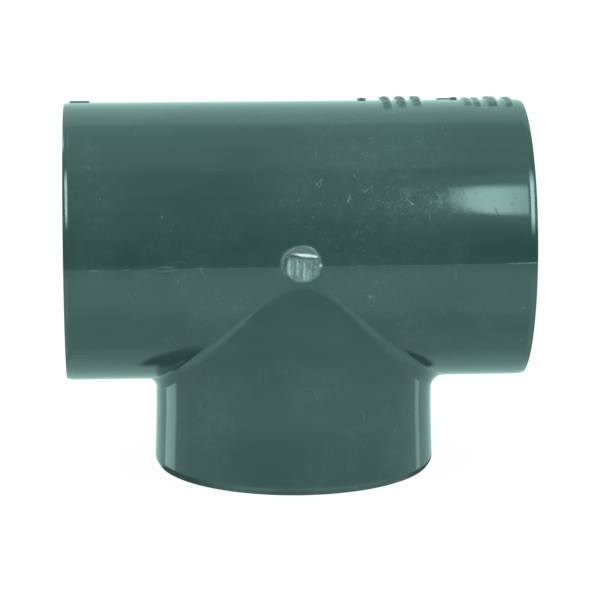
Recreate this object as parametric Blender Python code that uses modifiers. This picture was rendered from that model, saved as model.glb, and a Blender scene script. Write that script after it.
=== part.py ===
"""Slip tee for 2-inch pressure pipe: one injection moulding in grey PVC.

Metres, +Z up.  The tee stands on the mouth of its branch, so z = 0 is the
branch's mouth face and the run lies level along X above it.  The origin is the
centre of the branch mouth.  The front of the tee, where the mould was filled,
faces -Y.
"""
import math

import bmesh
import bpy
from mathutils import Matrix

# ---------------------------------------------------------------- dimensions
HALF_RUN = 0.0589        # run: axis of the branch to either mouth
AXIS_H = 0.0589          # branch mouth to the axis of the run
R_BODY = 0.03570         # outside radius of both barrels where they cross
R_BRANCH_MOUTH = 0.03638  # outside radius of the branch hub at its mouth
BRANCH_DRAFT_FROM = 0.0185   # height above the mouth where the branch widens
LIP_LENGTH = 0.0020      # each mouth's outer edge leans in over this length
LIP_DROP = 0.00028       # by this much on the run
BRANCH_LIP_DROP = 0.0010  # and by this much on the branch
CROTCH_R = 0.0034        # fillet between the barrels, at the crotch

SOCKET_DEPTH = 0.0290    # pipe goes this far in
R_SOCKET_MOUTH = 0.03030  # tapered socket for a 60.3 mm pipe
R_SOCKET_BASE = 0.03010
ENTRY_CHAMFER = 0.0007
R_WATERWAY = 0.02625     # clear way past the stop shoulders
SHOULDER_DROP = 0.0004   # draft of the stop shoulder

GATE_HALF_W = 0.0052     # oval scar where the feed was sheared off
GATE_HALF_H = 0.0049
GATE_DEPTH = 0.00045     # its floor, below the front of the run

MARK_SINK = 0.0024       # feet of the raised marks, below the run's crown
# Raised marks on the crown: x from, x to, y from, y to, height.
BAR_FRONT, BAR_BACK = -0.0065, 0.0080
MARKS = ([(0.0168, 0.0190, 0.0050, 0.0085, 0.00080)] +
         [(0.0225 + 0.0039 * k, 0.0248 + 0.0039 * k, BAR_FRONT, BAR_BACK, 0.00085)
          for k in range(3)] +
         [(0.0375, 0.0424, 0.0055, 0.0085, 0.00060)] +
         [(0.0436, 0.0454, BAR_FRONT, BAR_BACK, 0.00060),
          (0.0462, 0.0477, BAR_FRONT, BAR_BACK, 0.00060),
          (0.0495, 0.0520, BAR_FRONT, BAR_BACK, 0.00065),
          (0.0542, 0.0560, BAR_FRONT, BAR_BACK, 0.00060)] +
         [(-0.0567, -0.0523, 0.0040, 0.0090, 0.00060)])

SEGMENTS = 64            # facets round the outside
BORE_SEGMENTS = 48       # facets round the inside

COLOUR = (0.0423, 0.1020, 0.0908, 1.0)


# ------------------------------------------------------------------- helpers
def clear_scene():
    for ob in list(bpy.data.objects):
        bpy.data.objects.remove(ob, do_unlink=True)
    for mesh in list(bpy.data.meshes):
        bpy.data.meshes.remove(mesh)


def collection(name, hidden=False):
    col = bpy.data.collections.new(name)
    bpy.context.scene.collection.children.link(col)
    col.hide_render = hidden
    return col


def bake(ob):
    """Apply every modifier of an object, in place."""
    bpy.context.view_layer.update()
    deps = bpy.context.evaluated_depsgraph_get()
    mesh = bpy.data.meshes.new_from_object(ob.evaluated_get(deps))
    old = ob.data
    ob.modifiers.clear()
    ob.data = mesh
    bpy.data.meshes.remove(old)
    mesh.name = ob.name
    return ob


def settle(ob, digits=7):
    """Round the coordinates to 0.1 micron, so crossing barrels share corners."""
    for v in ob.data.vertices:
        v.co = [round(c, digits) for c in v.co]
    ob.data.update()
    return ob


def lathe(name, profile, segments, col, axis="Z", offset=(0.0, 0.0, 0.0)):
    """Turn a closed-to-axis profile of (radius, along) pairs into a solid.

    The profile runs down the outside from its top to its bottom.
    """
    mesh = bpy.data.meshes.new(name)
    verts = [(r, 0.0, h) for r, h in profile]
    edges = [(i, i + 1) for i in range(len(verts) - 1)]
    mesh.from_pydata(verts, edges, [])
    ob = bpy.data.objects.new(name, mesh)
    col.objects.link(ob)
    screw = ob.modifiers.new("turn", "SCREW")
    screw.axis = "Z"
    screw.angle = math.tau
    screw.steps = segments
    screw.render_steps = segments
    screw.use_merge_vertices = True
    screw.merge_threshold = 1e-5
    screw.use_normal_calculate = True
    bake(ob)
    if axis == "X":
        # turned about Y by a right angle, with exact zeros and ones
        ob.data.transform(Matrix(((0, 0, 1, 0), (0, 1, 0, 0),
                                  (-1, 0, 0, 0), (0, 0, 0, 1))))
    ob.data.transform(Matrix.Translation(offset))
    return settle(ob)


def boolean(ob, tool, operation):
    mod = ob.modifiers.new(operation.lower(), "BOOLEAN")
    mod.operation = operation
    mod.solver = "EXACT"
    mod.object = tool
    return bake(ob)


def as_cutter(ob, cutters):
    for col in list(ob.users_collection):
        col.objects.unlink(ob)
    cutters.objects.link(ob)
    ob.hide_render = True
    ob.display_type = "WIRE"
    return ob


def drop(ob):
    bpy.data.objects.remove(ob, do_unlink=True)


def eased_end(r_out, end, inward, lean, steps=2):
    """(radius, along) points of a mouth's outer edge, from the side to the face.

    The edge curves in a little over its last two millimetres, then stops
    square at the mouth's face.
    """
    pts = []
    for k in range(steps + 1):
        t = k / steps
        pts.append((r_out - lean * t * t,
                    end - inward * LIP_LENGTH * (1.0 - t)))
    return pts


# ---------------------------------------------------------------- the barrels
def run_barrel(col):
    """The straight-through barrel, solid, along X."""
    top = eased_end(R_BODY, HALF_RUN, 1.0, LIP_DROP)
    bottom = [(r, -h) for r, h in top]
    profile = ([(0.0, HALF_RUN)] + top[::-1] + bottom + [(0.0, -HALF_RUN)])
    return lathe("run_barrel", profile, SEGMENTS, col, axis="X",
                 offset=(0.0, 0.0, AXIS_H))


def branch_barrel(col):
    """The branch, solid, from the run's axis down to its mouth."""
    mouth = eased_end(R_BRANCH_MOUTH, 0.0, -1.0, BRANCH_LIP_DROP, 3)
    profile = ([(0.0, AXIS_H), (R_BODY, AXIS_H), (R_BODY, BRANCH_DRAFT_FROM)] +
               mouth + [(0.0, 0.0)])
    return lathe("branch_barrel", profile, SEGMENTS, col)


def fillet_crotches(ob):
    """Round the line where the barrels meet, fading out towards front and back."""
    bm = bmesh.new()
    bm.from_mesh(ob.data)
    layer = bm.edges.layers.float.get("bevel_weight_edge")
    if layer is None:
        layer = bm.edges.layers.float.new("bevel_weight_edge")

    def on_line(v):
        x, y, drop_z = v.co.x, v.co.y, AXIS_H - v.co.z
        return drop_z > -1e-6 and abs(abs(x) - drop_z) < 2e-6

    found = 0
    for e in bm.edges:
        if not (on_line(e.verts[0]) and on_line(e.verts[1])):
            continue
        if len(e.link_faces) != 2:
            continue
        turn = e.link_faces[0].normal.angle(e.link_faces[1].normal)
        if turn < math.radians(14.0):
            continue
        e[layer] = math.tan(turn / 2.0)
        found += 1
    bm.to_mesh(ob.data)
    bm.free()
    bev = ob.modifiers.new("crotch", "BEVEL")
    bev.limit_method = "WEIGHT"
    bev.offset_type = "OFFSET"
    bev.width = CROTCH_R
    bev.segments = 4
    bev.profile = 0.5
    bev.use_clamp_overlap = False
    bev.loop_slide = True
    bake(ob)
    return found


# ------------------------------------------------------------- what is cut out
def waterways(cutters):
    """Three tapered sockets and the two crossing bores, as one cutter."""
    past = 0.004

    def socket(mouth):
        # from outside the mouth inwards, as (radius, along from the axis)
        return [(R_SOCKET_MOUTH + ENTRY_CHAMFER, mouth + past),
                (R_SOCKET_MOUTH + ENTRY_CHAMFER, mouth),
                (R_SOCKET_MOUTH, mouth - ENTRY_CHAMFER),
                (R_SOCKET_BASE, mouth - SOCKET_DEPTH),
                (R_WATERWAY, mouth - SOCKET_DEPTH - SHOULDER_DROP)]

    upper = socket(HALF_RUN)
    profile = ([(0.0, HALF_RUN + past)] + upper +
               [(r, -h) for r, h in upper[::-1]] + [(0.0, -HALF_RUN - past)])
    through = lathe("run_waterway", profile, BORE_SEGMENTS, cutters, axis="X",
                    offset=(0.0, 0.0, AXIS_H))

    low = [(r, AXIS_H - h) for r, h in socket(AXIS_H)]
    profile = ([(0.0, AXIS_H), (R_WATERWAY, AXIS_H)] + low[::-1] +
               [(0.0, -past)])
    side = lathe("branch_waterway", profile, BORE_SEGMENTS, cutters)
    boolean(through, side, "UNION")
    drop(side)
    through.name = "waterways"
    return as_cutter(through, cutters)


def gate_scar(cutters):
    """Shallow oval recess on the front, where the sprue was sheared off."""
    bpy.ops.mesh.primitive_cylinder_add(
        vertices=32, radius=1.0, depth=0.004,
        location=(0.0, -(R_BODY - GATE_DEPTH) - 0.002, AXIS_H),
        rotation=(math.radians(90.0), 0.0, 0.0),
        scale=(GATE_HALF_W, GATE_HALF_H, 1.0))
    ob = bpy.context.active_object
    ob.name = "gate_scar"
    bpy.ops.object.transform_apply(location=True, rotation=True, scale=True)
    return as_cutter(ob, cutters)


# ------------------------------------------------------------------ the marks
def raised_pad(x0, x1, y0, y1, proud, col):
    """A pad that follows the run's crown, standing proud of it by proud."""
    bpy.ops.mesh.primitive_cylinder_add(
        vertices=SEGMENTS, radius=R_BODY + proud, depth=x1 - x0,
        location=((x0 + x1) / 2.0, 0.0, AXIS_H),
        rotation=(0.0, math.radians(90.0), 0.0))
    ob = bpy.context.active_object
    bpy.ops.object.transform_apply(location=True, rotation=True, scale=True)
    low = AXIS_H + R_BODY - MARK_SINK
    high = AXIS_H + R_BODY + 2.0 * proud
    bpy.ops.mesh.primitive_cube_add(
        size=1.0, location=((x0 + x1) / 2.0, (y0 + y1) / 2.0, (low + high) / 2.0),
        scale=((x1 - x0) + 0.002, y1 - y0, high - low))
    block = bpy.context.active_object
    bpy.ops.object.transform_apply(location=True, rotation=True, scale=True)
    boolean(ob, block, "INTERSECT")
    drop(block)
    return ob


def raised_marks(col):
    """Plain bars across the crown, with a low pad near the left mouth."""
    return [raised_pad(x0, x1, y0, y1, proud, col)
            for x0, x1, y0, y1, proud in MARKS]


# ------------------------------------------------------------------- material
def pvc():
    mat = bpy.data.materials.new("grey_pvc")
    mat.use_nodes = True
    bsdf = mat.node_tree.nodes["Principled BSDF"]
    bsdf.inputs["Base Color"].default_value = COLOUR
    bsdf.inputs["Roughness"].default_value = 0.28
    bsdf.inputs["Metallic"].default_value = 0.0
    mat.diffuse_color = COLOUR
    return mat


def main():
    clear_scene()
    tee = collection("pvc_tee_fitting")
    cutters = collection("cutters", hidden=True)

    body = run_barrel(tee)
    branch = branch_barrel(tee)
    boolean(body, branch, "UNION")
    drop(branch)
    fillet_crotches(body)

    for mark in raised_marks(tee):
        boolean(body, mark, "UNION")
        drop(mark)

    for tool in (gate_scar(cutters), waterways(cutters)):
        cut = body.modifiers.new(tool.name, "BOOLEAN")
        cut.operation = "DIFFERENCE"
        cut.solver = "EXACT"
        cut.object = tool

    body.name = "tee_body"
    body.data.name = "tee_body"
    body.data.materials.clear()
    body.data.materials.append(pvc())
    for poly in body.data.polygons:
        poly.material_index = 0
    bpy.ops.object.select_all(action="DESELECT")
    body.select_set(True)
    bpy.context.view_layer.objects.active = body
    bpy.ops.object.shade_smooth()
    body.data.set_sharp_from_angle(angle=math.radians(30.0))


main()
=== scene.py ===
"""Looks for the pvc tee: one smooth moulded body, its finish, a white studio.

Metres, +Z up, in the frame's own coordinates.  The tee stands on its branch
mouth at z = 0, the run lies along X, and the gate scar faces -Y.
"""

import math

import bpy
import numpy as np
from mathutils import Matrix, Vector


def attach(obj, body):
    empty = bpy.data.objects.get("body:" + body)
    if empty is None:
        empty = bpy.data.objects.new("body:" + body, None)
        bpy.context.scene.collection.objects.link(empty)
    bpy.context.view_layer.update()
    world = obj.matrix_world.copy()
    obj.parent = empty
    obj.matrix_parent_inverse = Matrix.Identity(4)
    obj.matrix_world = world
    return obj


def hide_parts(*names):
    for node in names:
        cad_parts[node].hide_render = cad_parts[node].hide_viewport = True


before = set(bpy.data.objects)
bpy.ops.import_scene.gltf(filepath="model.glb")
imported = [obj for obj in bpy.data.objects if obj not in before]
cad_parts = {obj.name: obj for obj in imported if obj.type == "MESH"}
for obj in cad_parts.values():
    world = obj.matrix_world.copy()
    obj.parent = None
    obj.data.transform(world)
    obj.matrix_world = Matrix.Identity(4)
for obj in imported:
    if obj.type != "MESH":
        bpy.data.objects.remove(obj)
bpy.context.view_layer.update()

# ------------------------------------------------------------- dimensions (mm)
MM = 0.001
HALF = 58.9              # branch axis to either mouth of the run
AXIS = 58.9              # branch mouth to the run's axis
R = 35.70                # outside radius where the barrels cross
DRAFT = 0.0065           # the branch widens this much per mm in the crotch
FLARE = 0.50             # and this much more towards its mouth
LIP = 2.0                # each mouth's outer edge leans in over this length
LIP_DROP = 0.28          # by this much on the run
BRANCH_DROP = 1.0        # and by this much on the branch
CORNER = 0.10            # radius where the edge meets the mouth's face
FILLET_LEFT = 3.1        # crotch fillets
FILLET_RIGHT = 3.8
FILLET_IN = 0.6          # the same edge inside the waterway
R_SOCKET_MOUTH = 30.30
R_SOCKET_BASE = 30.10
SOCKET_DEPTH = 29.0
CHAMFER = 0.7
R_WATER = 26.25
SHOULDER_DROP = 0.4

GATE_X, GATE_Z = -0.10, 0.42     # centre of the scar, from the run's axis
GATE_A, GATE_B = 5.15, 4.70      # its half width and half height

BAR_FRONT, BAR_BACK = -6.5, 8.0
# x from, x to, y from, y to, height, dome, grain
MARKS = ([(16.8, 19.0, 3.6, 8.5, 0.62, 0.5, 0.00)] +
         [(22.5 + 3.9 * k, 24.8 + 3.9 * k, -8.3 + 0.9 * k, BAR_BACK, 0.85, 0.55, 0.20)
          for k in range(3)] +
         [(37.5, 41.4, 5.9, 8.5, 0.42, 0.2, 0.01), (40.7, 42.6, 4.0, 8.3, 0.60, 0.2, 0.01)] +
         [(43.6, 45.4, -6.6, BAR_BACK, 0.42, 0.25, 0.12),
          (46.2, 47.7, -7.4, BAR_BACK, 0.50, 0.25, 0.08),
          (49.5, 52.0, -7.4, BAR_BACK, 0.65, 0.20, 0.14),
          (54.2, 56.0, -7.6, BAR_BACK, 0.58, 0.25, 0.08)] +
         [(-57.4, -52.3, 4.4, 8.6, 0.42, 0.10, 0.00)])


# --------------------------------------------------------------- small helpers
def sstep(a, b, x):
    t = np.clip((np.asarray(x, float) - a) / (b - a), 0.0, 1.0)
    return t * t * (3.0 - 2.0 * t)


def hash01(i, j, seed):
    v = np.sin(i * 127.1 + j * 311.7 + seed * 74.7) * 43758.5453
    return v - np.floor(v)


def noise2(x, y, seed=0.0):
    """Smooth value noise on a unit grid, from -1 to 1."""
    x = np.asarray(x, float)
    y = np.asarray(y, float)
    xi, yi = np.floor(x), np.floor(y)
    fx, fy = x - xi, y - yi
    fx = fx * fx * (3 - 2 * fx)
    fy = fy * fy * (3 - 2 * fy)
    a = hash01(xi, yi, seed)
    b = hash01(xi + 1, yi, seed)
    c = hash01(xi, yi + 1, seed)
    d = hash01(xi + 1, yi + 1, seed)
    return (a + (b - a) * fx + (c - a) * fy + (a - b - c + d) * fx * fy) * 2 - 1


def span(a, b, step):
    """Even levels from a up to, not including, b."""
    n = max(1, int(round(abs(b - a) / step)))
    return [a + (b - a) * k / n for k in range(n)]


# ----------------------------------------------------------------- angle levels
# Angle round the run's axis: 0 bottom, 90 front, 180 crown, 270 back.
def angle_levels():
    lv = span(0, 76.5, 1.5) + span(76.5, 79.5, 0.6)
    lv += span(79.5, 88.8, 0.24) + span(88.8, 90.0, 0.09)
    lv += span(90.0, 90.6, 0.09) + span(90.6, 100.5, 0.24) + span(100.5, 103.5, 0.6)
    lv += span(103.5, 162.0, 1.5) + span(162.0, 198.0, 0.4)
    lv += span(198.0, 267.0, 1.5) + span(267.0, 269.4, 0.6)
    lv += [269.4, 269.7, 269.85, 270.0, 270.15, 270.3]
    lv += span(270.6, 273.0, 0.6) + span(273.0, 360.0, 1.5)
    return np.array(lv)


TH = angle_levels()
TR = np.radians(TH)
COS, SIN = np.cos(TR), np.sin(TR)
COS[np.abs(COS) < 1e-12] = 0.0
SIN[np.abs(SIN) < 1e-12] = 0.0
LOW = (TH <= 90.0) | (TH >= 270.0)       # rows that meet the branch
COSLOW = np.where(LOW, np.maximum(COS, 0.0), 0.0)


# --------------------------------------------------------------- length levels
def x_levels(side):
    """Levels along the run, from the branch's axis to the lip, for one side."""
    near = span(0.0, 6.6, 0.15) + [6.6, 7.0]
    end = HALF - LIP
    cuts = []
    for x0, x1, *_ in MARKS:
        if (x0 > 0) != (side > 0):
            continue
        a, b = sorted((abs(x0), abs(x1)))
        cuts += [a - 0.16, a - 0.06, a + 0.05, a + 0.14,
                 b - 0.14, b - 0.05, b + 0.06, b + 0.16]
        inner = max(2, int((b - a - 0.28) / 0.4))
        cuts += [a + 0.14 + (b - a - 0.28) * k / inner for k in range(1, inner)]
    stops = sorted([7.0] + cuts + [end - 0.4, end])
    out = []
    for a, b in zip(stops, stops[1:]):
        if b - a < 1e-6:
            continue
        n = max(1, int(math.ceil((b - a) / 1.3)))
        out += [a + (b - a) * k / n for k in range(1, n + 1)]
    return np.array(near), np.array(out)


def branch_growth(d):
    """How far the branch's wall has moved out, d below the run's axis."""
    d = np.maximum(d, 0.0)
    return DRAFT * np.minimum(d, 31.0) + FLARE * np.clip((d - 43.0) / (AXIS - 43.0), 0, 1) ** 1.2


def lip_profile(length, drop):
    """(along, radius) from the start of the lip over the mouth to the bore.

    Along is measured from the other barrel's axis.
    """
    pts = []
    for k in range(1, 11):
        t = k / 10.0 * (LIP - CORNER) / LIP
        pts.append((length - LIP * (1 - t), R - drop * t * t))
    last = pts[-1]
    lean = math.atan(2 * drop / LIP)
    for k in range(1, 5):                         # small corner to the face
        a = lean + (math.pi / 2 - lean) * k / 4.0
        pts.append((length - CORNER + CORNER * math.sin(a) - 0.0,
                    last[1] - CORNER * (math.cos(lean) - math.cos(a))))
    inner = R_SOCKET_MOUTH + CHAMFER
    outer = pts[-1][1]
    pts += [(length, outer - 0.06), (length, outer - 0.4)]
    pts += [(length, inner + (outer - 0.4 - inner) * f) for f in (0.66, 0.33)]
    pts += [(length, inner + 0.08)]
    for k in range(0, 5):                         # softened entry chamfer
        a = math.radians(11.25 + 22.5 * k * 0.5)
        t = k / 4.0
        pts.append((length - CHAMFER * (t ** 1.25), inner - CHAMFER * (t ** 0.85)))
    base = length - SOCKET_DEPTH
    r1 = R_SOCKET_MOUTH
    pts += [(length - CHAMFER - 0.08, r1 - 0.001)]
    n = 12
    for k in range(1, n + 1):
        f = k / n
        pts.append((length - CHAMFER - 0.08 - (SOCKET_DEPTH - CHAMFER - 0.08 - 0.45) * f,
                    r1 + (R_SOCKET_BASE - r1) * f))
    # small radius into the stop shoulder, the shoulder, and its rounded edge
    for a in (22.5, 45.0, 67.5, 90.0):
        s, c = math.sin(math.radians(a)), math.cos(math.radians(a))
        pts.append((base + 0.45 - 0.45 * s, R_SOCKET_BASE - 0.45 + 0.45 * c))
    pts += [(base - 0.03, R_SOCKET_BASE - 1.6), (base - 0.08, R_WATER + 0.6)]
    for a in (22.5, 45.0, 67.5, 90.0):
        s, c = math.sin(math.radians(a)), math.cos(math.radians(a))
        pts.append((base - 0.08 - 0.5 * (1 - c), R_WATER + 0.5 * (1 - s) + 0.0))
    return pts


# ------------------------------------------------------------------ mesh store
class Store:
    def __init__(self):
        self.points, self.flow, self.faces = [], [], []
        self.count = 0

    def grid(self, pts, flow, wrap):
        """pts [rows, cols, 3]; wrap closes the rows into a ring."""
        rows, cols = pts.shape[:2]
        base = self.count
        self.points.append(pts.reshape(-1, 3))
        self.flow.append(flow.reshape(-1, 3))
        self.count += rows * cols
        i = np.arange(rows if wrap else rows - 1)[:, None]
        j = np.arange(cols - 1)[None, :]
        a = i * cols + j
        b = ((i + 1) % rows) * cols + j
        quads = np.stack([a, b, b + 1, a + 1], -1).reshape(-1, 4) + base
        self.faces.append(quads)


def run_sheet(store, side, fillet):
    """One half of the run: outside, lip, face, socket and bore."""
    near, far = x_levels(side)
    xs = (R + fillet) * COSLOW                      # [rows]
    end = HALF - LIP
    x_near = xs[:, None] + near[None, :]
    scale = (end - xs - 7.0) / (end - 7.0)
    x_far = (xs + 7.0)[:, None] + (far[None, :] - 7.0) * scale[:, None]
    x_out = np.concatenate([x_near, x_far], 1)
    r_out = np.full_like(x_out, R)
    prof = lip_profile(HALF, LIP_DROP)
    px = np.array([p[0] for p in prof])[None, :].repeat(len(TH), 0)
    pr = np.array([p[1] for p in prof])[None, :].repeat(len(TH), 0)
    x_last = prof[-1][0]
    x_in = (R_WATER + FILLET_IN) * COSLOW
    f = np.linspace(0, 1, 25)[1:]
    bx = x_last + (x_in[:, None] - x_last) * f[None, :]
    br = np.full_like(bx, R_WATER)
    x = np.concatenate([x_out, px, bx], 1)
    r = np.concatenate([r_out, pr, br], 1)
    pts = np.stack([side * x, -r * SIN[:, None], AXIS - r * COS[:, None]], -1)
    arc = R * TR[:, None] + 0 * x
    flow = np.stack([side * x, arc, 0 * x], -1)
    store.grid(pts, flow, True)


def branch_sheet(store, side, fillet):
    """One side of the branch, as columns that match the run's low rows."""
    order = [k for k in range(len(TH)) if TH[k] >= 270.0] + \
            [k for k in range(len(TH)) if TH[k] <= 90.0]
    c, s = COS[order], SIN[order]
    near, _ = x_levels(side)
    zs = (R + fillet) * np.maximum(c, 0.0)          # drop below the run's axis
    end = AXIS - LIP
    steps = np.array([7.0 + k for k in np.cumsum(
        [1.2] * 28)] + [])
    steps = steps[steps < 41.0]
    far = np.concatenate([steps, np.linspace(steps[-1], end, 20)[1:]])
    d_near = zs[:, None] + near[None, :]
    scale = (end - zs - 7.0) / (end - 7.0)
    d_far = (zs + 7.0)[:, None] + (far[None, :] - 7.0) * scale[:, None]
    d_out = np.concatenate([d_near, d_far], 1)
    r_out = np.full_like(d_out, R)
    prof = lip_profile(AXIS, BRANCH_DROP)
    n = len(order)
    pd = np.array([p[0] for p in prof])[None, :].repeat(n, 0)
    pr = np.array([p[1] for p in prof])[None, :].repeat(n, 0)
    d_last = prof[-1][0]
    d_in = (R_WATER + FILLET_IN) * np.maximum(c, 0.0)
    f = np.linspace(0, 1, 25)[1:]
    bd = d_last + (d_in[:, None] - d_last) * f[None, :]
    br = np.full_like(bd, R_WATER)
    d = np.concatenate([d_out, pd, bd], 1)
    r = np.concatenate([r_out, pr, br], 1)
    pts = np.stack([side * r * c[:, None], -r * s[:, None], AXIS - d], -1)
    ang = np.arctan2(s, c)
    arc = side * (math.pi / 2 - ang)[:, None] * R + 0 * d
    flow = np.stack([arc, 400.0 - d, 0 * d], -1)
    store.grid(pts, flow, False)
    return order


def fillet_band(store, side, fillet, radius, steps, order):
    """The rolled corner between the barrels, outside or in the waterway."""
    c, s = np.maximum(COS[order], 0.0), SIN[order]
    centre = np.stack([(radius + fillet) * c, -(radius + fillet) * s,
                       AXIS - (radius + fillet) * c], -1)
    to_run = np.stack([0 * c, s, c], -1)
    to_branch = np.stack([-c, s, 0 * c], -1)
    omega = np.arccos(np.clip((to_run * to_branch).sum(-1), -1, 1))
    pts = np.zeros((len(order), steps + 1, 3))
    for k in range(steps + 1):
        t = k / steps
        w0, w1 = np.empty_like(omega), np.empty_like(omega)
        small = omega < 1e-7
        so = np.where(small, 1.0, np.sin(omega))
        w0 = np.where(small, 1 - t, np.sin((1 - t) * omega) / so)
        w1 = np.where(small, t, np.sin(t * omega) / so)
        pts[:, k] = centre + fillet * (w0[:, None] * to_run + w1[:, None] * to_branch)
    # the two ends are the sheets' own first points, to the last digit
    pts[:, 0] = np.stack([(radius + fillet) * c, -radius * s, AXIS - radius * c], -1)
    pts[:, -1] = np.stack([radius * c, -radius * s, AXIS - (radius + fillet) * c], -1)
    pts[..., 0] *= side
    a = pts[:, 0]
    flow = np.stack([pts[..., 0], 300.0 + pts[..., 2], 0 * pts[..., 0]], -1)
    store.grid(pts, flow, False)


# ---------------------------------------------------------------- relief (mm)
def gate_relief(gx, gz):
    """Height, worked-surface mask, ledge whitening with its painted highlight, cut-face stripes and painted rim
    highlights of the sheared feed.
    """
    rho = np.sqrt((gx / GATE_A) ** 2 + (gz / GATE_B) ** 2)
    ang = np.arctan2(gz, gx)
    rho = rho * (1 + 0.010 * np.sin(3 * ang + 0.5) + 0.014 * noise2(ang * 4, rho * 0, 5))
    upper = np.clip(np.sin(ang) * 0.5 + 0.5, 0, 1)
    rim = 0.015 + 0.085 * upper ** 2
    rim = rim * np.exp(-((rho - 0.95) / 0.050) ** 2)
    rec = -0.20 * sstep(0.98, 0.84, rho)
    # the sheared stub: an uneven ellipse, cut off along its upper edge
    q = np.sqrt(((gx - 0.45) / 4.45) ** 2 + ((gz + 0.75) / 3.80) ** 2)
    q = q * (1 + 0.030 * noise2(np.arctan2(gz + 0.7, gx - 0.4) * 5, 0 * gx, 9))
    stub = sstep(1.03, 0.86, q)
    edge = 1.62 - 0.115 * gx + 0.05 * noise2(gx * 2.3, 0 * gx, 3)
    below = edge - gz
    face = 0.26 * sstep(-0.05, 0.35, below) * stub
    # the upper lip, with its dark undercut
    lip_run = sstep(-3.6, -1.0, gx) * sstep(4.35, 3.70, gx)
    crest = 0.20 * np.exp(-((below + 0.68) / 0.30) ** 2) * lip_run
    groove = -0.22 * np.exp(-((below - 0.02) / 0.17) ** 2) * sstep(-4.6, -4.0, gx) * sstep(3.6, 2.4, gx)
    # sheared strokes running up and down the face
    wob = gx + 0.10 * noise2(gz * 0.9, gx * 0.3, 21)
    strokes = np.zeros_like(gx)
    for c, w, power, v0, v1 in ((-3.05, 0.40, 0.80, -3.3, 1.1), (-2.20, 0.16, 0.32, -2.6, 0.9),
                                (-0.98, 0.24, 0.78, -2.7, 1.0), (-0.42, 0.12, 0.34, -3.4, 0.3),
                                (0.72, 0.27, 0.82, -3.9, 0.4), (1.22, 0.13, 0.40, -3.6, -0.6),
                                (1.72, 0.22, 0.55, -3.9, -1.5), (2.45, 0.16, 0.30, -3.2, 0.2)):
        s = np.exp(-((wob - c) / w) ** 2) * sstep(v0 - 0.5, v0 + 0.4, gz) * sstep(v1 + 0.5, v1 - 0.3, gz)
        strokes = np.maximum(strokes, s * power * (0.80 + 0.28 * noise2(gz * 1.2, c + 0 * gz, 27)))
    fine = noise2(gx * 6.0, gz * 1.3, 41)
    on_face = stub * sstep(0.20, 0.55, below)
    h = rim + rec + face + crest + groove
    h = h + on_face * (0.085 * strokes + 0.018 * fine)
    h = h + on_face * sstep(1.6, 3.4, gx) * 0.035 * noise2(gx * 4.1, gz * 3.1, 51)
    h = h + 0.015 * noise2(gx * 2.6, gz * 2.6, 61) * sstep(0.97, 0.8, rho)
    # a bright nib at the right end, on the parting line
    nib = np.exp(-(((gx - 4.82) / 0.34) ** 2 + ((gz + 0.30) / 0.34) ** 2))
    h = h + 0.16 * nib
    worked = sstep(1.02, 0.90, rho)
    # painted highlight on the lip's up-facing ledge, partly its stress whitening; the nib gets the same painted
    # highlight
    thick = 0.25 + 0.15 * np.exp(-((gx - 1.3) / 1.5) ** 2)
    whitening_and_highlight = np.exp(-((below + 0.70) / thick) ** 2) * lip_run
    whitening_and_highlight = whitening_and_highlight * (0.42 + 0.58 * sstep(-2.0, -0.4, gx)) * (0.90 + 0.12 * noise2(gx * 2.4, 0 * gx, 71))
    whitening_and_highlight = np.maximum(whitening_and_highlight, 0.55 * nib)
    wash = 0.27 + 0.12 * fine + 0.10 * noise2(gx * 5.0, gz * 4.0, 44)
    wash = wash * (1 - 0.30 * sstep(1.6, 3.0, gx))
    spots = sstep(0.25, 0.8, noise2(gx * 3.3, gz * 3.3, 81)) * 0.30 * sstep(1.0, 2.6, gx)
    stripe = (np.clip(wash, 0, 1) + strokes + spots) * on_face
    # painted highlights round the scar: the recess rim, strongest at the top and right, the stub's lower edge,
    # the recess above the lip and an inner arc
    foot = np.exp(-((q - 0.93) / 0.06) ** 2) * 0.30 * np.clip(-np.sin(ang - 0.35), 0, 1)
    ring = np.exp(-((rho - 0.94) / 0.055) ** 2)
    up = np.clip(np.cos(ang - math.radians(78)), 0, 1)
    left_up = np.clip(np.cos(ang - math.radians(148)), 0, 1) ** 5
    left_rim_highlight = np.exp(-((rho - 0.93) / 0.10) ** 2) * left_up * (0.75 + 0.25 * noise2(gx * 2.2, gz * 2.2, 92))
    right = np.clip(np.cos(ang - math.radians(28)), 0, 1) ** 4
    rim_highlight = ring * (0.04 + 0.46 * up ** 1.5 + 0.34 * right + 0.08 * noise2(ang * 7, 0 * ang, 93))
    bowl = sstep(-0.95, -1.5, below) * sstep(0.97, 0.85, rho) * sstep(-3.6, -1.6, gx)
    rim_highlight = rim_highlight + bowl * (0.26 + 0.10 * noise2(gx * 1.6, gz * 2.2, 95))
    arc = 0.26 * np.exp(-((rho - 0.76) / 0.05) ** 2) * np.clip(np.sin(ang - 0.2), 0, 1) ** 2
    rim_highlight = rim_highlight + 0.62 * left_rim_highlight + arc * sstep(0.9, 1.3, gz + 0.1 * gx - 1.0) + foot
    return h, worked, whitening_and_highlight, np.clip(stripe, 0, 1), np.clip(rim_highlight, 0, 1)


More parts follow.
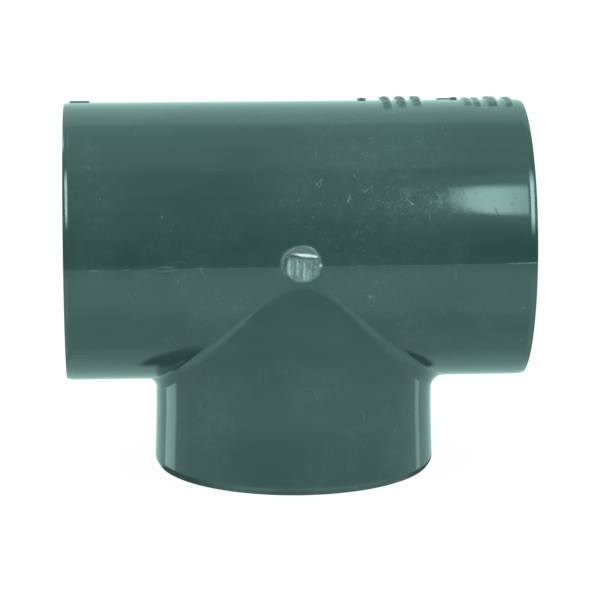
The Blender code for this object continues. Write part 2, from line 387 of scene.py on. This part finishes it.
def parting(x, gz):
    """Fine ridge left where the mould halves met; x in mm, gz above the axis."""
    gz = gz + 0.0052 * (38.0 - x)               # the line is not quite level
    away = sstep(4.9, 5.6, np.abs(x - GATE_X))
    n = noise2(x * 0.9, 0 * x, 101) * 0.6 + noise2(x * 3.1, 0 * x, 102) * 0.4
    wander = 0.10 * noise2(x * 0.5, 0 * x, 105) * sstep(0.0, 0.5, n)
    h = 0.003 + 0.028 * sstep(0.25, 0.85, n)
    end = sstep(50.0, 53.0, x) * np.clip(0.75 + 0.5 * noise2(x * 1.6, 0 * x, 103), 0, 1)
    nick = np.exp(-((x + 51.0) / 1.2) ** 2) + np.exp(-((x - 8.9) / 0.35) ** 2)
    h = h + 0.055 * end + 0.03 * nick
    width = 0.11 + 0.05 * end
    ridge = h * np.exp(-((gz - wander) / width) ** 2) * away
    # a small lens of flash left of the gate, with a lip above and below
    u = np.clip(1 - ((x + 33.4) / 2.2) ** 2, 0, 1)
    lens = u * (np.exp(-((gz - 0.62 * u) / 0.16) ** 2) + 0.8 * np.exp(-((gz + 0.50 * u) / 0.18) ** 2))
    dent = u * np.exp(-((gz + 0.95 * u) / 0.20) ** 2)
    # opposite drafts: the wall leans back a little above and below the line
    lean = -0.010 * np.abs(gz) * np.exp(-np.abs(gz) / 7.0)
    # painted highlight along the ridge's crest, stronger on the thick flash near the run's end and at the nicks,
    # and on the flash lens
    bright = away * np.exp(-((gz - wander - 0.03) / 0.14) ** 2) * np.clip(
        0.28 * sstep(0.35, 0.9, n) + 0.55 * end + 0.35 * nick, 0, 1)
    bright = np.maximum(bright, 0.30 * lens * away)
    return ridge + lean + 0.06 * lens - 0.05 * dent, bright


def mark_relief(x, y):
    """Height of the raised marks, and a painted glint at their front feet."""
    h = np.zeros_like(x)
    pale = np.zeros_like(x)
    for n, (x0, x1, y0, y1, top, dome, grain) in enumerate(MARKS):
        ex = sstep(x0 - 0.13, x0 + 0.11, x) * sstep(x1 + 0.13, x1 - 0.11, x)
        u = np.clip((x - (x0 + x1) / 2) / ((x1 - x0) / 2), -1, 1)
        bow = 0.9 * (1 - np.sqrt(np.clip(1 - u * u, 0, 1))) if dome > 0.3 else 0 * u
        slope = (5.0 if x0 < 36 else 3.6) if y0 < 0 else 0.6
        ey = sstep(y0 + bow - 0.2, y0 + bow + slope, y) * sstep(y1 - bow + 0.16, y1 - bow - 0.30, y)
        m = ex * ey
        round_top = 1 - dome * (1 - np.sqrt(np.clip(1 - (u * 0.94) ** 2, 0, 1)))
        g = grain * noise2(x * 2.3 + 11 * n, y * 1.5, 120 + n) if grain else 0
        h = np.maximum(h, m * (top * round_top + g))
        # painted glints at the front feet of the right-hand bars
        if y0 < 0 and x0 > 40:
            dot = np.exp(-((u - 0.45) / 0.42) ** 2) * np.exp(-((y - y0 - 0.2) / 0.28) ** 2)
            pale = np.maximum(pale, 0.75 * dot * ex)
    # a thread of flash along the feet of the last bars and a scratch under the first pip, both also given a
    # painted glint
    seam = np.exp(-((y + 7.5 - 0.05 * (x - 46.0)) / 0.16) ** 2) * sstep(45.6, 46.4, x) * sstep(52.4, 51.6, x)
    pip_scratch_glint = np.exp(-((y + 9.7 + 0.25 * (x - 24.0)) / 0.22) ** 2) * sstep(22.6, 23.4, x) * sstep(25.6, 24.9, x)
    h = h + 0.035 * seam + 0.02 * pip_scratch_glint
    pale = np.maximum(pale, np.maximum(0.55 * seam, 0.40 * pip_scratch_glint))
    return h, pale


def build_body():
    store = Store()
    orders = {}
    for side, fillet in ((1.0, FILLET_RIGHT), (-1.0, FILLET_LEFT)):
        run_sheet(store, side, fillet)
        order = branch_sheet(store, side, fillet)
        fillet_band(store, side, fillet, R, 12, order)
        fillet_band(store, side, FILLET_IN, R_WATER, 4, order)
    pts = np.concatenate(store.points)
    flow = np.concatenate(store.flow)
    quads = np.concatenate(store.faces)

    key = np.round(pts * 1e5).astype(np.int64)      # 10 nanometres
    _, first, inverse = np.unique(key, axis=0, return_index=True, return_inverse=True)
    inverse = inverse.reshape(-1)
    pts, flow = pts[first], flow[first]
    quads = inverse[quads]

    # ---- the branch's draft, fading out along the arms
    reach = np.hypot(pts[:, 0], pts[:, 1])
    out = (reach > 33.0) & (pts[:, 2] < AXIS)
    soft = 1.0 - sstep(37.5, 46.0, reach)
    grow = 1.0 + np.where(out, soft * branch_growth(AXIS - pts[:, 2]) / np.maximum(reach, 1.0), 0.0)
    # the socket's mouth ring keeps its inner edge
    grow = np.where(out & (reach < R - 1.2), 1.0 + (grow - 1.0) * sstep(33.0, R - 1.2, reach), grow)
    pts[:, 0] *= grow
    pts[:, 1] *= grow

    # ---- relief, on the shared points
    x, y, z = pts.T
    gz = z - AXIS
    r_run = np.hypot(y, gz)
    r_br = np.hypot(x, y)
    on_run = (r_run > 34.0) & (np.abs(x) < HALF - 0.2)
    on_branch = (r_br > 34.0) & (z < AXIS + 1e-6)
    outer = on_run | on_branch
    disp = np.zeros_like(pts)
    worked = np.zeros(len(pts))
    whitening_and_highlight = np.zeros(len(pts))
    stripe = np.zeros(len(pts))
    # edge gathers painted highlights: the gate rim, the parting ridge and glints at the marks' feet
    edge = np.zeros(len(pts))

    # where the two barrels all but touch, under the gate, the mould blends them
    near = sstep(18.0, 8.0, np.hypot(x, gz)) * sstep(2.5, -1.0, gz)
    run_y = np.sqrt(np.maximum(R * R - gz * gz, 0.0))
    branch_r = R + soft * branch_growth(-gz)
    branch_y = np.sqrt(np.maximum(branch_r ** 2 - x * x, 0.0))
    close = np.clip(1 - np.abs(run_y - branch_y) / 0.54, 0, 1)
    fill = np.maximum(run_y, branch_y) + 0.135 * close ** 2 - np.abs(y)
    fill = np.clip(fill, 0.0, 0.2) * near
    disp[:, 1] -= np.where(outer & (y < -30.0), fill, 0.0)

    m = outer & (y < -30.0) & (np.hypot(x - GATE_X, gz - GATE_Z) < 7.6)
    h, wk, wh, st, rg = gate_relief(x[m] - GATE_X, gz[m] - GATE_Z)
    disp[m, 1] -= h
    worked[m] = wk
    # painted ledge highlight, partly its stress whitening
    whitening_and_highlight[m] = wh
    stripe[m] = st
    # the scar's painted rim highlights
    edge[m] = np.maximum(edge[m], rg)

    for sgn in (-1.0, 1.0):
        m = on_run & (sgn * y > 25.0)
        m &= ~((np.abs(x) < np.abs(gz)) & (gz < 0))
        h, br = parting(x[m] if sgn < 0 else -x[m] + 3.0, gz[m])
        keep = 1.0 - worked[m]
        # the drafts run out before the crotch
        keep = keep * np.where(gz[m] < 0, sstep(0.0, 3.5, np.abs(x[m]) + 0.2 - np.abs(gz[m])), 1.0)
        disp[m, 1] += sgn * h * keep
        if sgn > 0:
            br = br * 0.6
        # the parting ridge's painted highlight, dimmer on the back
        edge[m] = np.maximum(edge[m], br * keep)

    m = on_run & (gz > 20.0)
    h, pale = mark_relief(x[m], y[m])
    # the marks' painted foot glints
    edge[m] = np.maximum(edge[m], pale)
    disp[m, 1] += h * (y[m] / r_run[m])
    disp[m, 2] += h * (gz[m] / r_run[m])
    grain = np.zeros(len(pts))
    grain[m] = sstep(0.15, 0.5, h)

    pts = (pts + disp) * MM
    # ---- faces: drop repeated corners
    faces = []
    for q in quads.tolist():
        f = [q[0]]
        for v in q[1:]:
            if v != f[-1]:
                f.append(v)
        if len(f) > 1 and f[0] == f[-1]:
            f.pop()
        if len(set(f)) >= 3:
            faces.append(f)
    mesh = bpy.data.meshes.new("tee")
    mesh.from_pydata(pts.tolist(), [], faces)
    mesh.validate(verbose=False)
    return mesh, dict(flow=flow, worked=worked, whitening_and_highlight=whitening_and_highlight, stripe=stripe,
                      edge=edge, grain=grain)


def add_attributes(mesh, data):
    n = len(mesh.vertices)
    for name, values in data.items():
        if name == "flow":
            att = mesh.attributes.new("flow", "FLOAT_VECTOR", "POINT")
            att.data.foreach_set("vector", values.astype(np.float32).ravel())
        else:
            att = mesh.attributes.new(name, "FLOAT", "POINT")
            att.data.foreach_set("value", values.astype(np.float32))


mesh, data = build_body()
add_attributes(mesh, data)
tee = bpy.data.objects.new("tee", mesh)
bpy.context.scene.collection.objects.link(tee)

import bmesh
bm = bmesh.new()
bm.from_mesh(mesh)
bmesh.ops.recalc_face_normals(bm, faces=bm.faces)
open_edges = sum(1 for e in bm.edges if len(e.link_faces) != 2)
bm.to_mesh(mesh)
bm.free()
print("tee mesh:", len(mesh.vertices), "points,", len(mesh.polygons), "faces, open or shared edges:", open_edges)
mesh.polygons.foreach_set("use_smooth", [True] * len(mesh.polygons))
mesh.update()


# ------------------------------------------------------------------- material
class Nodes:
    """Short words for building a node tree."""

    def __init__(self, tree):
        self.t = tree
        self.x = -1600

    def new(self, kind, **props):
        n = self.t.nodes.new(kind)
        for k, v in props.items():
            setattr(n, k, v)
        return n

    def put(self, node, name, value):
        sock = node.inputs[name]
        if isinstance(value, bpy.types.NodeSocket):
            self.t.links.new(value, sock)
        else:
            sock.default_value = value

    def math(self, op, a, b=None, c=None, clamp=False):
        n = self.new("ShaderNodeMath", operation=op, use_clamp=clamp)
        for k, v in enumerate((a, b, c)):
            if v is not None:
                self.put(n, k, v)
        return n.outputs[0]

    def vmath(self, op, a, b=None, scale=None):
        n = self.new("ShaderNodeVectorMath", operation=op)
        self.put(n, 0, a)
        if b is not None:
            self.put(n, 1, b)
        if scale is not None:
            self.put(n, "Scale", scale)
        return n.outputs["Value"] if op in ("DOT_PRODUCT", "LENGTH", "DISTANCE") else n.outputs[0]

    def smooth(self, value, lo, hi, out_lo=0.0, out_hi=1.0):
        n = self.new("ShaderNodeMapRange", interpolation_type="SMOOTHSTEP", clamp=True)
        self.put(n, "Value", value)
        self.put(n, "From Min", lo)
        self.put(n, "From Max", hi)
        self.put(n, "To Min", out_lo)
        self.put(n, "To Max", out_hi)
        return n.outputs["Result"]

    def mix(self, fac, a, b):
        n = self.new("ShaderNodeMix", data_type="RGBA")
        self.put(n, 0, fac)
        self.put(n, 6, a)
        self.put(n, 7, b)
        return n.outputs[2]

    def fmix(self, fac, a, b):
        n = self.new("ShaderNodeMix", data_type="FLOAT")
        self.put(n, 0, fac)
        self.put(n, 2, a)
        self.put(n, 3, b)
        return n.outputs[0]

    def noise(self, vec, scale, detail=2.0, rough=0.5, out="Fac"):
        n = self.new("ShaderNodeTexNoise")
        self.put(n, "Vector", vec)
        self.put(n, "Scale", scale)
        self.put(n, "Detail", detail)
        self.put(n, "Roughness", rough)
        return n.outputs[out]

    def attr(self, name, out="Fac"):
        n = self.new("ShaderNodeAttribute", attribute_name=name)
        return n.outputs[out]


def pvc():
    mat = bpy.data.materials.new("grey_pvc_moulded")
    mat.use_nodes = True
    k = Nodes(mat.node_tree)
    bsdf = mat.node_tree.nodes["Principled BSDF"]
    here = k.new("ShaderNodeTexCoord").outputs["Object"]
    mm = k.vmath("SCALE", here, scale=1000.0)          # millimetres
    flow = k.attr("flow", "Vector")

    # slow change of tone in the moulding
    cloud = k.noise(mm, 0.035, 3.0, 0.55)
    streak_v = k.vmath("MULTIPLY", flow, (0.03, 0.16, 1.0))
    streak = k.noise(streak_v, 1.0, 4.0, 0.6)
    tone = k.math("ADD", k.math("MULTIPLY", cloud, 0.6), k.math("MULTIPLY", streak, 0.4))
    dark = (0.0225, 0.0600, 0.0550, 1.0)
    light = (0.0290, 0.0715, 0.0665, 1.0)
    colour = k.mix(k.smooth(tone, 0.35, 0.65), dark, light)

    # dust: small light specks, more of them in drifts
    def specks(scale, lo, hi, share, seed):
        v = k.new("ShaderNodeTexVoronoi", feature="F1")
        k.put(v, "Vector", k.vmath("ADD", mm, (seed, seed * 1.7, seed * 0.3)))
        k.put(v, "Scale", scale)
        pick = k.new("ShaderNodeSeparateColor")
        k.put(pick, 0, v.outputs["Color"])
        on = k.math("LESS_THAN", pick.outputs[0], share)
        size = k.math("MULTIPLY_ADD", pick.outputs[1], hi - lo, lo)
        dist = k.math("DIVIDE", v.outputs["Distance"], size)
        dot = k.smooth(dist, 1.0, 0.35)
        strength = k.math("MULTIPLY_ADD", pick.outputs[2], 0.7, 0.3)
        return k.math("MULTIPLY", k.math("MULTIPLY", dot, on), strength)

    drift = k.smooth(k.noise(mm, 0.055, 3.0, 0.6), 0.46, 0.66)
    centre = k.vmath("DISTANCE", mm, (17.0, -28.0, 72.0))
    near = k.smooth(centre, 34.0, 8.0)
    cover = k.math("ADD", k.math("MULTIPLY", drift, 0.55), k.math("MULTIPLY", near, 0.65), clamp=True)
    cover = k.math("MULTIPLY_ADD", cover, 0.93, 0.07)
    fine = specks(1.15, 0.10, 0.24, 0.30, 3.1)
    dots = specks(0.30, 0.045, 0.13, 0.30, 17.3)
    # rubbed-in dust: broken patches, with fibres in them
    patch = k.smooth(k.noise(mm, 0.16, 3.0, 0.65), 0.56, 0.74)
    crumbs = k.smooth(k.noise(k.vmath("ADD", mm, (31.0, 7.0, 19.0)), 0.95, 5.0, 0.78), 0.52, 0.74)
    smudge = k.math("MULTIPLY", patch, crumbs)
    # fine curled fibres lying in the dust
    def fibres(scale, seed):
        n = k.noise(k.vmath("ADD", mm, (seed, seed * 0.6, seed * 1.3)), scale, 2.0, 0.5)
        line = k.smooth(k.math("ABSOLUTE", k.math("SUBTRACT", n, 0.5)), 0.016, 0.002)
        gap = k.noise(k.vmath("ADD", mm, (seed * 2.0, 5.0, seed)), scale * 1.6, 2.0, 0.5)
        return k.math("MULTIPLY", line, k.smooth(gap, 0.59, 0.70))

    threads = k.math("MAXIMUM", fibres(0.24, 11.0), fibres(0.36, 47.0))
    crust = k.smooth(k.noise(k.vmath("ADD", mm, (3.0, 9.0, 27.0)), 0.42, 6.0, 0.80), 0.46, 0.72)
    dust = k.math("MAXIMUM", k.math("MULTIPLY", fine, 0.26), dots)
    dust = k.math("MAXIMUM", dust, k.math("MULTIPLY", smudge, 0.46))
    dust = k.math("MULTIPLY", dust, cover)
    drifted = k.math("MULTIPLY", cover, k.math("MULTIPLY_ADD", crust, 0.17, 0.07))
    dust = k.math("MAXIMUM", dust, drifted)
    dust = k.math("MAXIMUM", dust, k.math("MULTIPLY", threads, k.math("MULTIPLY", cover, 0.72)))

    # scratches: a few short strokes lying in the surface, in three directions
    def strokes(angle, along, across, share, thick, seed):
        m = k.new("ShaderNodeMapping", vector_type="POINT")
        k.put(m, "Vector", flow)
        m.inputs["Location"].default_value = (seed, seed * 0.7, 0.0)
        m.inputs["Rotation"].default_value = (0.0, 0.0, math.radians(angle))
        wob = k.noise(flow, 0.25, 2.0, 0.5, "Color")
        bent = k.vmath("ADD", m.outputs[0], k.vmath("SCALE", wob, scale=1.6))
        v2 = k.vmath("MULTIPLY", bent, (1.0 / along, 1.0 / across, 0.0))
        v = k.new("ShaderNodeTexVoronoi", feature="F1", voronoi_dimensions="2D")
        k.put(v, "Vector", v2)
        k.put(v, "Scale", 1.0)
        pick = k.new("ShaderNodeSeparateColor")
        k.put(pick, 0, v.outputs["Color"])
        sep = k.new("ShaderNodeSeparateXYZ")
        k.put(sep, 0, k.vmath("SUBTRACT", v2, v.outputs["Position"]))
        dx = k.math("ABSOLUTE", sep.outputs[0])
        dy = k.math("ABSOLUTE", sep.outputs[1])
        length = k.math("MULTIPLY_ADD", pick.outputs[2], 0.24, 0.08)
        body = k.math("MULTIPLY", k.smooth(k.math("DIVIDE", dx, length), 1.0, 0.4),
                      k.smooth(dy, thick, 0.0))
        on = k.math("LESS_THAN", pick.outputs[0], share)
        return k.math("MULTIPLY", k.math("MULTIPLY", body, on),
                      k.math("MULTIPLY_ADD", pick.outputs[1], 0.75, 0.25))

    s1 = strokes(72.0, 9.0, 7.0, 0.08, 0.036, 5.0)
    s2 = strokes(58.0, 8.0, 7.0, 0.06, 0.042, 41.0)
    s3 = strokes(-76.0, 7.0, 7.0, 0.04, 0.032, 87.0)
    scratch = k.math("MAXIMUM", s1, k.math("MAXIMUM", s2, s3))
    scratch = k.math("MULTIPLY", scratch, k.math("MULTIPLY_ADD", cover, 0.80, 0.22))

    worked = k.attr("worked")
    whitening_and_highlight = k.attr("whitening_and_highlight")
    stripe = k.attr("stripe")
    edge = k.attr("edge")
    grain = k.attr("grain")

    pale = (0.150, 0.250, 0.230, 1.0)
    colour = k.mix(k.math("MULTIPLY", dust, 0.90), colour, pale)
    colour = k.mix(k.math("MULTIPLY", scratch, 0.62), colour, pale)
    colour = k.mix(k.math("MULTIPLY", worked, 0.30), colour, (0.072, 0.140, 0.128, 1.0))
    colour = k.mix(stripe, colour, (0.310, 0.490, 0.450, 1.0))
    # painted highlights: the gate's rim, the parting ridge and the marks' feet
    colour = k.mix(k.math("MULTIPLY", edge, 0.55), colour, (0.260, 0.420, 0.390, 1.0))
    # painted highlight on the gate's ledge and nib, partly stress whitening
    colour = k.mix(whitening_and_highlight, colour, (0.780, 0.950, 0.900, 1.0))
    colour = k.mix(k.math("MULTIPLY", grain, 0.25), colour, (0.050, 0.105, 0.096, 1.0))
    k.put(bsdf, "Base Color", colour)

    haze = k.noise(mm, 0.09, 4.0, 0.6)
    rough = k.math("MULTIPLY_ADD", k.smooth(haze, 0.40, 0.70), 0.020, 0.030)
    rough = k.math("ADD", rough, k.math("MULTIPLY", dust, 0.08))
    rough = k.math("ADD", rough, k.math("MULTIPLY", scratch, 0.25))
    rough = k.math("ADD", rough, k.math("MULTIPLY", worked, 0.30))
    rough = k.math("ADD", rough, k.math("MULTIPLY", grain, 0.25))
    rough = k.math("ADD", rough, k.math("MULTIPLY", whitening_and_highlight, 0.15), clamp=True)
    k.put(bsdf, "Roughness", rough)
    bsdf.inputs["IOR"].default_value = 1.53
    bsdf.inputs["Metallic"].default_value = 0.0

    # the mould's polish is not perfect, and the scratches have depth
    ripple = k.noise(mm, 0.10, 2.0, 0.5)
    pitted = k.noise(mm, 2.4, 3.0, 0.6)
    tool = k.noise(k.vmath("MULTIPLY", mm, (2.2, 2.2, 0.35)), 1.0, 3.0, 0.6)
    high = k.math("MULTIPLY", ripple, 0.0020)
    high = k.math("ADD", high, k.math("MULTIPLY", pitted, 0.0002))
    high = k.math("ADD", high, k.math("MULTIPLY", dust, 0.012))
    high = k.math("SUBTRACT", high, k.math("MULTIPLY", scratch, 0.010))
    high = k.math("ADD", high, k.math("MULTIPLY", k.math("MULTIPLY", tool, worked), 0.030))
    high = k.math("ADD", high, k.math("MULTIPLY", k.math("MULTIPLY", pitted, grain), 0.060))
    bump = k.new("ShaderNodeBump")
    k.put(bump, "Strength", 1.0)
    k.put(bump, "Distance", 0.001)
    k.put(bump, "Height", high)
    k.put(bsdf, "Normal", bump.outputs[0])
    return mat


mesh.materials.append(pvc())
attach(tee, "root")
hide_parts("tee_body")


# ---------------------------------------------------------------- studio
def studio_world():
    """White room: even light for the floor, a shaped one for the gloss."""
    world = bpy.data.worlds.new("studio")
    bpy.context.scene.world = world
    world.use_nodes = True
    tree = world.node_tree
    tree.nodes.clear()
    k = Nodes(tree)
    way = k.vmath("NORMALIZE", k.new("ShaderNodeTexCoord").outputs["Generated"])
    sep = k.new("ShaderNodeSeparateXYZ")
    k.put(sep, 0, way)
    x, y, z = sep.outputs[0], sep.outputs[1], sep.outputs[2]
    elev = k.math("MULTIPLY", k.math("ARCSINE", z), 180.0 / math.pi)
    # 0 at the front (-Y), positive towards +X
    turn = k.math("MULTIPLY", k.math("ARCTAN2", x, k.math("MULTIPLY", y, -1.0)), 180.0 / math.pi)

    # brightness by height on the front side
    ramp = k.new("ShaderNodeFloatCurve")
    k.put(ramp, "Value", k.math("MULTIPLY_ADD", elev, 1.0 / 180.0, 0.5))
    curve = ramp.mapping.curves[0]
    pts = [(-90, 0.80), (-68, 0.88), (-58, 0.95), (-47, 1.26), (-25, 1.30), (-20, 1.22),
           (-15, 1.04), (-13, 0.92), (-11.5, 0.70), (-10.2, 0.30), (-9.0, 0.14), (0, 0.08),
           (8, 0.10), (18, 0.22), (30, 0.36), (37, 0.44), (45, 0.48), (55, 0.50), (66, 0.62),
           (71, 0.86), (77, 0.90), (83, 0.88), (90, 0.86)]
    ramp.mapping.extend = "HORIZONTAL"
    xs = [((e + 90.0) / 180.0, v / 3.0) for e, v in pts]
    curve.points[0].location = xs[0]
    curve.points[1].location = xs[-1]
    for p in xs[1:-1]:
        curve.points.new(*p)
    for p in curve.points:
        p.handle_type = "VECTOR"
    ramp.mapping.update()
    front = k.math("MULTIPLY", ramp.outputs[0], 3.0)
    # the back is a plain bright wall, a little dimmer to the sides
    away = k.math("ABSOLUTE", turn)
    back = k.smooth(elev, 62.0, 55.0, 0.97, 1.33)
    back = k.math("SUBTRACT", back, k.smooth(elev, 44.0, 30.0, 0.0, 0.08))
    side = k.smooth(away, 70.0, 100.0)
    low = k.smooth(elev, -10.0, -12.5)
    floor_back = k.smooth(away, 140.0, 165.0, 0.82, 0.97)
    back = k.fmix(low, back, floor_back)
    base = k.fmix(side, front, back)

    # the same directions as seen mirrored in a barrel that lies along X:
    # skew out of the barrel's cross-section, lift round it from the front
    skew = k.math("MULTIPLY", k.math("ARCSINE", x), 180.0 / math.pi)
    lift = k.math("MULTIPLY", k.math("ARCTAN2", z, k.math("MULTIPLY", y, -1.0)), 180.0 / math.pi)

    def window(value, lo, hi, soft):
        return k.math("MULTIPLY", k.smooth(value, lo - soft, lo + soft),
                      k.smooth(value, hi + soft, hi - soft))

    def panel(t0, t1, e0, e1, soft_t, soft_e, power):
        a = window(turn, t0, t1, soft_t)
        b = window(elev, e0, e1, soft_e)
        return k.math("MULTIPLY", k.math("MULTIPLY", a, b), power)

    def overhead(s0, s1, l0, l1, soft_s, soft_l, power):
        a = window(skew, s0, s1, soft_s)
        b = window(lift, l0, l1, soft_l)
        return k.math("MULTIPLY", k.math("MULTIPLY", a, b), power)

    # the strip light's near end is rounded
    off = k.math("DIVIDE", k.math("SUBTRACT", lift, 43.2), 15.6)
    bulge = k.math("SQRT", k.math("MAXIMUM", k.math("SUBTRACT", 1.0, k.math("MULTIPLY", off, off)), 0.0))
    inside = k.math("MULTIPLY_ADD", bulge, 1.2, k.math("SUBTRACT", skew, 1.2))
    strip = k.math("MULTIPLY", k.smooth(inside, 6.16, 6.60), window(lift, 28.6, 52.4, 3.7))
    strip = k.math("MULTIPLY", strip, k.smooth(skew, 8.7, 7.1, 0.0, 6.95))

    under = k.smooth(elev, -17.0, -22.0)
    lights = [
        strip,
        overhead(13.4, 27.5, 19.5, 62.0, 1.8, 11.0, 10.8),    # tall softbox, front right
        overhead(-21.5, -12.8, 27.0, 67.5, 1.5, 9.5, 11.0),   # softbox, front left
        k.math("MULTIPLY", overhead(-42.0, -13.0, -100.0, -14.0, 2.0, 3.0, 0.40), under),
        k.math("MULTIPLY", overhead(13.5, 42.0, -100.0, -14.0, 2.0, 3.0, 0.30), under),
        overhead(2.4, 60.0, 30.0, 62.0, 0.8, 8.0, 0.22),      # their glow
        overhead(6.2, 60.0, 22.0, 64.0, 1.6, 9.0, 0.62),
        overhead(6.4, 60.0, 22.0, 66.0, 0.9, 9.0, 0.15),
        overhead(3.2, 60.0, 68.0, 94.0, 1.6, 5.0, 0.17),
        overhead(5.2, 60.0, 6.0, 38.0, 1.6, 7.0, 0.20),
        overhead(-40.0, -19.0, 98.0, 130.0, 1.8, 6.0, 6.5),   # hair light, back left
        panel(-137.0, -119.0, -16.5, 12.0, 2.6, 1.4, 1.34),
        panel(119.2, 125.8, -16.5, 12.0, 2.2, 1.2, 1.00),
    ]
    total = base
    for one in lights:
        total = k.math("ADD", total, one)

    gloss = k.new("ShaderNodeBackground")
    k.put(gloss, "Color", (0.615, 1.0, 0.915, 1.0))
    k.put(gloss, "Strength", total)
    even = k.new("ShaderNodeBackground")
    k.put(even, "Color", (1.0, 1.0, 1.0, 1.0))
    k.put(even, "Strength", k.smooth(elev, -10.0, 80.0, 0.98, 1.28))
    path = k.new("ShaderNodeLightPath")
    pick = k.new("ShaderNodeMixShader")
    k.put(pick, 0, path.outputs["Is Glossy Ray"])
    tree.links.new(even.outputs[0], pick.inputs[1])
    tree.links.new(gloss.outputs[0], pick.inputs[2])
    plain = k.new("ShaderNodeBackground")
    k.put(plain, "Color", (1.0, 1.0, 1.0, 1.0))
    k.put(plain, "Strength", 1.0)
    seen = k.new("ShaderNodeMixShader")
    k.put(seen, 0, path.outputs["Is Camera Ray"])
    tree.links.new(pick.outputs[0], seen.inputs[1])
    tree.links.new(plain.outputs[0], seen.inputs[2])
    out = k.new("ShaderNodeOutputWorld")
    tree.links.new(seen.outputs[0], out.inputs[0])
    world.cycles.sampling_method = "MANUAL"
    world.cycles.sample_map_resolution = 1024
    return world


studio_world()


def floor():
    bpy.ops.mesh.primitive_plane_add(size=1.0, location=(0.0, 0.0, -0.00002))
    ob = bpy.context.active_object
    ob.name = "floor"
    ob.scale = (24.0, 24.0, 1.0)
    mat = bpy.data.materials.new("floor_white")
    mat.use_nodes = True
    k = Nodes(mat.node_tree)
    bsdf = mat.node_tree.nodes["Principled BSDF"]
    where = k.new("ShaderNodeTexCoord").outputs["Object"]
    tone = k.noise(where, 40.0, 3.0, 0.5)
    k.put(bsdf, "Base Color", k.mix(tone, (0.070, 0.070, 0.070, 1.0), (0.085, 0.085, 0.085, 1.0)))
    bsdf.inputs["Roughness"].default_value = 0.9
    bsdf.inputs["Specular IOR Level"].default_value = 0.0
    bsdf.inputs["Emission Color"].default_value = (1.0, 1.0, 1.0, 1.0)
    bsdf.inputs["Emission Strength"].default_value = 0.95
    mat.cycles.emission_sampling = "NONE"
    ob.data.materials.append(mat)
    ob.visible_glossy = False
    return ob


def contact_shade():
    """The floor's shaded ring round the standing branch, as the gloss sees it."""
    bpy.ops.mesh.primitive_circle_add(vertices=96, radius=0.062, fill_type="TRIFAN",
                                      location=(0.0, 0.0, -0.00001))
    ob = bpy.context.active_object
    ob.name = "floor_contact"
    mat = bpy.data.materials.new("floor_contact")
    mat.use_nodes = True
    k = Nodes(mat.node_tree)
    mat.node_tree.nodes.clear()
    where = k.new("ShaderNodeTexCoord").outputs["Object"]
    reach = k.vmath("LENGTH", where)
    sep = k.new("ShaderNodeSeparateXYZ")
    k.put(sep, 0, where)
    wide = k.math("MULTIPLY", k.smooth(reach, 0.0428, 0.0394), k.smooth(sep.outputs[1], -0.036, -0.022))
    wide = k.math("MULTIPLY", wide, k.smooth(sep.outputs[1], -0.003, -0.0105))
    tight = k.math("MULTIPLY", k.smooth(reach, 0.0394, 0.0372), k.smooth(sep.outputs[1], -0.029, -0.018))
    dark = k.fmix(k.smooth(sep.outputs[0], -0.005, 0.005), wide, tight)
    dark = k.math("MULTIPLY", dark, k.smooth(sep.outputs[1], 0.005, -0.001))
    front = k.math("MULTIPLY", k.smooth(reach, 0.0390, 0.0355), k.smooth(sep.outputs[1], -0.017, -0.026))
    dark = k.math("MAXIMUM", dark, k.math("MULTIPLY", front, 0.35))
    shade = k.new("ShaderNodeEmission")
    k.put(shade, "Color", (0.62, 1.0, 0.93, 1.0))
    k.put(shade, "Strength", 0.08)
    clear = k.new("ShaderNodeBsdfTransparent")
    both = k.new("ShaderNodeMixShader")
    k.put(both, 0, dark)
    k.put(both, 1, clear.outputs[0])
    k.put(both, 2, shade.outputs[0])
    out = k.new("ShaderNodeOutputMaterial")
    k.put(out, 0, both.outputs[0])
    mat.cycles.emission_sampling = "NONE"
    ob.data.materials.append(mat)
    ob.visible_camera = False
    ob.visible_diffuse = False
    ob.visible_shadow = False
    return ob


floor()
contact_shade()

# ---------------------------------------------------------------- camera
AZ, EL, DIST = math.radians(-3.389), math.radians(12.135), 0.7615
TARGET = Vector((0.00168, 0.0, 0.04265))
back = Vector((math.sin(AZ) * math.cos(EL), -math.cos(AZ) * math.cos(EL), math.sin(EL)))
cam_data = bpy.data.cameras.new("camera")
cam_data.sensor_width = 36.0
cam_data.lens = 175.44
cam_data.clip_start = 0.01
cam_data.clip_end = 50.0
cam = bpy.data.objects.new("camera", cam_data)
bpy.context.scene.collection.objects.link(cam)
cam.location = TARGET + back * DIST
cam.rotation_euler = (math.radians(90.0) - EL, 0.0, AZ)
bpy.context.scene.camera = cam

view = bpy.context.scene.view_settings
view.view_transform = "Standard"
view.look = "None"
view.exposure = 0.0
view.gamma = 1.0

bpy.context.view_layer.update()
